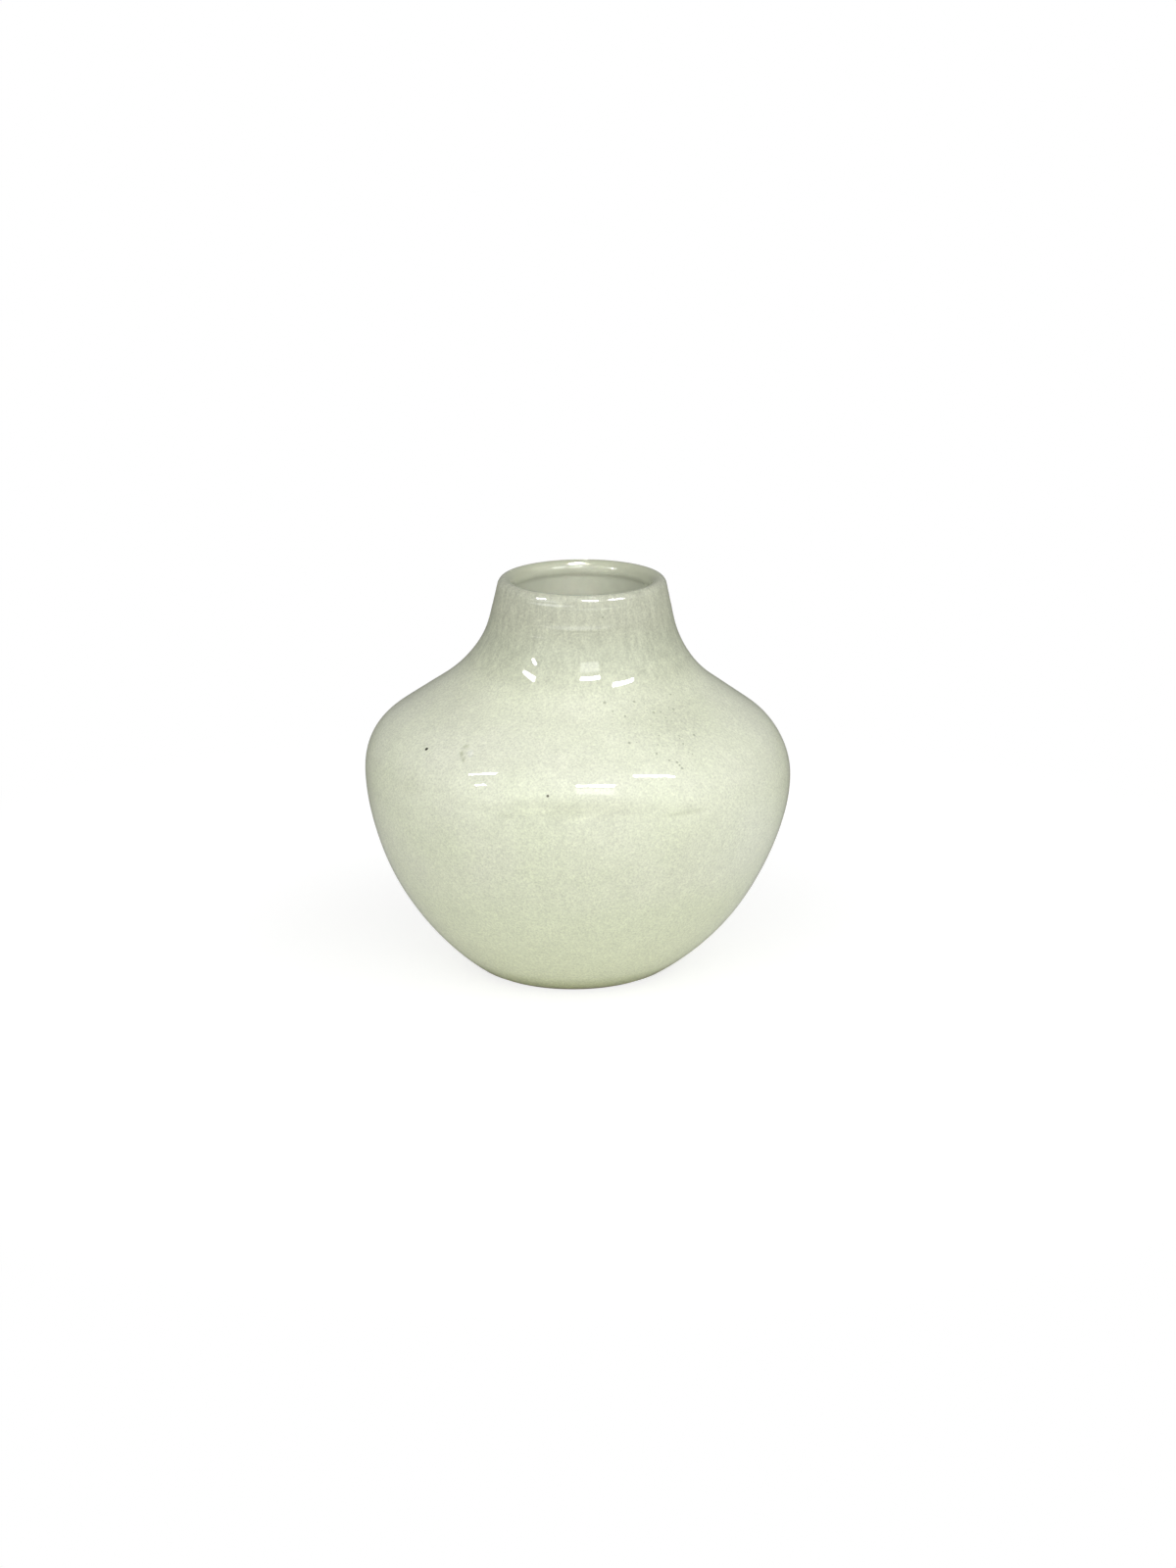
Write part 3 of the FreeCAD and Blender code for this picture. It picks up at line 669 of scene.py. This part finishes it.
def footSection():
    size, wall = footLine, rounds["wall"]
    wellRadius = jarLine["footRadius"] - size["width"]
    clayRadius = wall["radius"] - jarLine["coat"]
    edge, wellEdge = size["edgeRound"], size["wellEdgeRound"]
    below = edge - wall["centre"][1]
    edgeRadius = wall["centre"][0] + math.sqrt((clayRadius - edge) ** 2 - below ** 2)
    wallAngle = math.degrees(math.atan2(below, edgeRadius - wall["centre"][0]))
    topAngle = math.degrees(math.asin((size["ringHeight"] - wall["centre"][1]) / clayRadius))
    return np.vstack([
        cornerRound((wellRadius + wellEdge, wellEdge), wellEdge, 180, 270),
        cornerRound((edgeRadius, edge), edge, -90, wallAngle, count=16),
        cornerRound(wall["centre"], clayRadius, wallAngle, topAngle, count=6)[1:],
        [(wellRadius, size["ringHeight"]), (wellRadius, size["wellRow"])],
    ])


def wellSection():
    size, coat = footLine, jarLine["coat"]
    wellRadius = jarLine["footRadius"] - size["width"]
    faceRadius, faceHeight, fillet = wellRadius - coat, size["baseHeight"] - coat, size["wellFillet"]
    return np.vstack([
        [(radius, faceHeight) for radius in size["wellRows"]],
        cornerRound((faceRadius - fillet, faceHeight - fillet), fillet, 90, 0),
        cornerRound((faceRadius + coat, size["wellHem"] + coat), coat, 180, 270, count=6),
        [(radius, size["baseHeight"]) for radius in (wellRadius, *size["backRows"])],
    ])


foot = turnedPiece("foot_ring_turned", footSection(), "foot_ring")
well = turnedPiece("foot_well_coat", wellSection(), "foot_well_glaze")
hidden = [hiddenPiece(node) for node, slot in (
    ("lower_bowl", "porcelain_body"),
    ("upper_bowl", "porcelain_body"),
    ("neck_collar", "porcelain_body"),
    ("foot_luting_slip", "porcelain_slip"),
    ("belly_luting_slip", "porcelain_slip"),
    ("neck_luting_slip", "porcelain_slip"),
)]
celadon = celadonMaterial()
bare = bareMaterial()
for piece in (outerGlaze, well):
    piece.data.materials.append(celadon)
linerGlaze.data.materials.append(linerMaterial())
for piece in (foot, *hidden):
    piece.data.materials.append(bare)
print("glazes and bare porcelain laid on", len(hidden) + 4, "pieces")

# Studio: a pale floor, a room that is brighter in front and above, and strip lamps.
studio = {
    "floorColour": "EFEFED",
    "flagColour": "9C9D92",  # seen only by mirrored rays, the floor behind is painted this dark in place of a flag, and the glaze mirrors it along its outline
    "roomColour": "FCFDFD",
    "roomDark": 0.23,
    "roomBright": 2.07,
    "brightAzimuth": 11.0,  # degrees from the front towards the right
    "brightFrom": -0.25,  # cosine from that direction where the bright part starts, and where it is full
    "brightTo": 0.95,
    "brightLow": 0.1,  # sine of the elevation of its lower edge, and where it is full
    "brightHigh": 0.42,
    "mirroredShare": 0.5,  # how much of the white backdrop the glaze mirrors, beside the room
    "floorHalf": 14.0,  # metres, as are the distances below
    "whiteFrom": (-0.1, -0.6),  # where the glaze starts to mirror white in front, and where it does wholly
    "flagFrom": (0.0, 0.3),  # the same for the dark flag behind
    "floorNear": 0.12,  # from the axis, where the floor starts to turn white, and where it is
    "floorFar": 0.42,
    "nearShare": 0.6,
    "glowNear": 1.3,  # with the rest of the lit floor this comes to white where no shadow falls
}

# Strip lamps, which show as sharp dashes in the glaze. Ends and width in millimetres, and the radiance.
strips = [
    {"name": "leftStrip", "ends": ((-276, -123, 363), (-146, -123, 313)), "width": 16, "bright": 44},
    {"name": "leftSpot", "ends": ((-424, -277, 421), (-358, -277, 440)), "width": 11, "bright": 420},
    {"name": "frontStrip", "ends": ((4, -343, 484), (141, -311, 445)), "width": 27, "bright": 52},
    {"name": "frontPatch", "ends": ((2, -350, 388), (138, -350, 388)), "width": 62, "bright": 3.9},
    {"name": "rightStrip", "ends": ((113, -148, 316), (268, -143, 375)), "width": 16, "bright": 56},
    {"name": "backStrip", "ends": ((-2, -54, 582), (76, -54, 572)), "width": 30, "bright": 32,
     "aim": (0, 37, 187), "spread": 20},
]
aimPoint = (0, 0, 120)


# An area lamp that faces the jar, its long side from end to end, of a set radiance.
def stripLamp(strip):
    start, end = (Vector(place) * mm for place in strip["ends"])
    length, width = (end - start).length, strip["width"] * mm
    lamp = bpy.data.lights.new(strip["name"], "AREA")
    lamp.shape = "RECTANGLE"
    lamp.size, lamp.size_y = length, width
    lamp.energy = strip["bright"] * math.pi * length * width
    lamp.spread = math.radians(strip.get("spread", 180))
    centre, sideways = (start + end) / 2, (end - start).normalized()
    back = centre - Vector(strip.get("aim", aimPoint)) * mm
    back = (back - sideways * back.dot(sideways)).normalized()
    rise = back.cross(sideways)
    holder = bpy.data.objects.new(strip["name"], lamp)
    holder.matrix_world = Matrix.Translation(centre) @ Matrix((sideways, rise, back)).transposed().to_4x4()
    holder.visible_camera = holder.visible_diffuse = False  # the room does the lighting
    bpy.context.collection.objects.link(holder)


for strip in strips:
    stripLamp(strip)

# A small lamp in a snoot that shines past the front of the lip on the back of the throat.
snoot = {"aim": (0, 33, 158), "from": (0, -0.72, 0.69), "distance": 380, "across": 24, "spread": 9.0,
         "power": 0.001}


def snootLamp():
    aim, back = Vector(snoot["aim"]) * mm, Vector(snoot["from"]).normalized()
    lamp = bpy.data.lights.new("mouthLamp", "AREA")
    lamp.shape, lamp.size = "DISK", snoot["across"] * mm
    lamp.energy, lamp.spread = snoot["power"], math.radians(snoot["spread"])
    holder = bpy.data.objects.new("mouthLamp", lamp)
    holder.location = aim + back * snoot["distance"] * mm
    holder.rotation_euler = back.to_track_quat("Z", "Y").to_euler()
    holder.visible_camera = holder.visible_glossy = False
    bpy.context.collection.objects.link(holder)


snootLamp()


# What each ray sees: the camera sees white, the glaze mirrors it in front of the jar.
def studioFloor():
    floor = bpy.data.objects.new("studioFloor", bpy.data.meshes.new("studioFloor"))
    half = studio["floorHalf"]
    floor.data.from_pydata([(-half, -half, 0), (half, -half, 0), (half, half, 0), (-half, half, 0)], [],
                           [(0, 1, 2, 3)])
    bpy.context.collection.objects.link(floor)
    material, tree, output = newMaterial("paintedStudioFloor")
    place = addNode(tree, "ShaderNodeTexCoord").outputs["Object"]
    depth = addNode(tree, "ShaderNodeSeparateXYZ", links={"Vector": place}).outputs["Y"]
    away = addNode(tree, "ShaderNodeVectorMath", {"operation": "LENGTH"}, {"Vector": place}).outputs["Value"]
    reach = {**smooth, "From Min": studio["floorNear"], "From Max": studio["floorFar"]}
    openShare = addNode(tree, "ShaderNodeMapRange", {**reach, "To Min": studio["nearShare"]}, {"Value": away})
    glow = addNode(tree, "ShaderNodeMapRange", {**reach, "To Min": studio["glowNear"]}, {"Value": away})
    front, flag = (
        addNode(tree, "ShaderNodeMapRange", {**smooth, "From Min": start, "From Max": full},
                {"Value": depth}).outputs["Result"]
        for start, full in (studio["whiteFrom"], studio["flagFrom"]))
    rays = addNode(tree, "ShaderNodeLightPath").outputs
    mirrored = addNode(tree, "ShaderNodeMath", {"operation": "ADD"},
                       {0: rays["Is Glossy Ray"], 1: rays["Is Transmission Ray"]}).outputs[0]
    inFront, behind = (
        addNode(tree, "ShaderNodeMath", {"operation": "MULTIPLY"}, {0: mirrored, 1: share}).outputs[0]
        for share in (front, flag))
    seenShare = addNode(tree, "ShaderNodeMath", {"operation": "MULTIPLY_ADD"},
                        {0: rays["Is Camera Ray"], 1: openShare.outputs["Result"], 2: inFront})
    paintTone = addNode(tree, "ShaderNodeMix",
                        {**ofColours, "A": linear(studio["floorColour"]), "B": linear(studio["flagColour"])},
                        {"Factor": behind}).outputs["Result"]
    paint = addNode(tree, "ShaderNodeBsdfDiffuse", links={"Color": paintTone})
    white = addNode(tree, "ShaderNodeEmission", links={"Strength": glow.outputs["Result"]})
    mixed = addNode(tree, "ShaderNodeMixShader", links={0: seenShare.outputs[0], 1: paint.outputs[0],
                                                        2: white.outputs[0]})
    tree.links.new(mixed.outputs["Shader"], output.inputs["Surface"])
    floor.data.materials.append(material)


def studioWorld():
    world = bpy.data.worlds.new("studio")
    world.use_nodes = True
    tree = world.node_tree
    tree.nodes.clear()
    output = addNode(tree, "ShaderNodeOutputWorld")
    way = addNode(tree, "ShaderNodeTexCoord").outputs["Generated"]
    turn = math.radians(studio["brightAzimuth"])
    towards = addNode(tree, "ShaderNodeVectorMath", {"operation": "DOT_PRODUCT",
                                                     1: (math.sin(turn), -math.cos(turn), 0)}, {0: way})
    height = addNode(tree, "ShaderNodeSeparateXYZ", links={"Vector": way}).outputs["Z"]
    front = addNode(tree, "ShaderNodeMapRange", {**smooth, "From Min": studio["brightFrom"],
                                                 "From Max": studio["brightTo"]},
                    {"Value": towards.outputs["Value"]}).outputs["Result"]
    above = addNode(tree, "ShaderNodeMapRange", {**smooth, "From Min": studio["brightLow"],
                                                 "From Max": studio["brightHigh"]},
                    {"Value": height}).outputs["Result"]
    window = addNode(tree, "ShaderNodeMath", {"operation": "MULTIPLY"}, {0: front, 1: above}).outputs[0]
    level = addNode(tree, "ShaderNodeMapRange",
                    {"To Min": studio["roomDark"], "To Max": studio["roomBright"]},
                    {"Value": window}).outputs["Result"]
    rays = addNode(tree, "ShaderNodeLightPath").outputs
    mirrored = addNode(tree, "ShaderNodeMath", {"operation": "ADD"},
                       {0: rays["Is Glossy Ray"], 1: rays["Is Transmission Ray"]}).outputs[0]
    frontShare = addNode(tree, "ShaderNodeMath", {"operation": "MULTIPLY", 1: studio["mirroredShare"]},
                         {0: front}).outputs[0]
    seen = addNode(tree, "ShaderNodeMath", {"operation": "MULTIPLY_ADD"},
                   {0: mirrored, 1: frontShare, 2: rays["Is Camera Ray"]}).outputs[0]
    room = addNode(tree, "ShaderNodeBackground", {"Color": linear(studio["roomColour"])}, {"Strength": level})
    white = addNode(tree, "ShaderNodeBackground", {"Color": (1, 1, 1, 1), "Strength": 1.0})
    mixed = addNode(tree, "ShaderNodeMixShader", links={0: seen, 1: room.outputs[0], 2: white.outputs[0]})
    tree.links.new(mixed.outputs["Shader"], output.inputs["Surface"])
    bpy.context.scene.world = world


studioFloor()
studioWorld()
print("studio lit by", len(strips) + 1, "lamps and the room")

# Camera at the photograph's angle: a long lens a little above the jar, the jar just left of the middle.
view = {
    "distance": 1710 * mm,
    "elevation": 16.68,
    "lookAt": Vector((4.6, 0, 87.34)) * mm,
    "lens": 83.34,
}


def photoCamera():
    camera = bpy.data.objects.new("photoCamera", bpy.data.cameras.new("photoCamera"))
    camera.data.lens = view["lens"]
    tilt = math.radians(view["elevation"])
    back = Vector((0, -math.cos(tilt), math.sin(tilt)))
    camera.location = view["lookAt"] + back * view["distance"]
    camera.rotation_euler = (math.pi / 2 - tilt, 0, 0)
    bpy.context.collection.objects.link(camera)
    bpy.context.scene.camera = camera


photoCamera()
bpy.context.scene.view_settings.view_transform = "Standard"
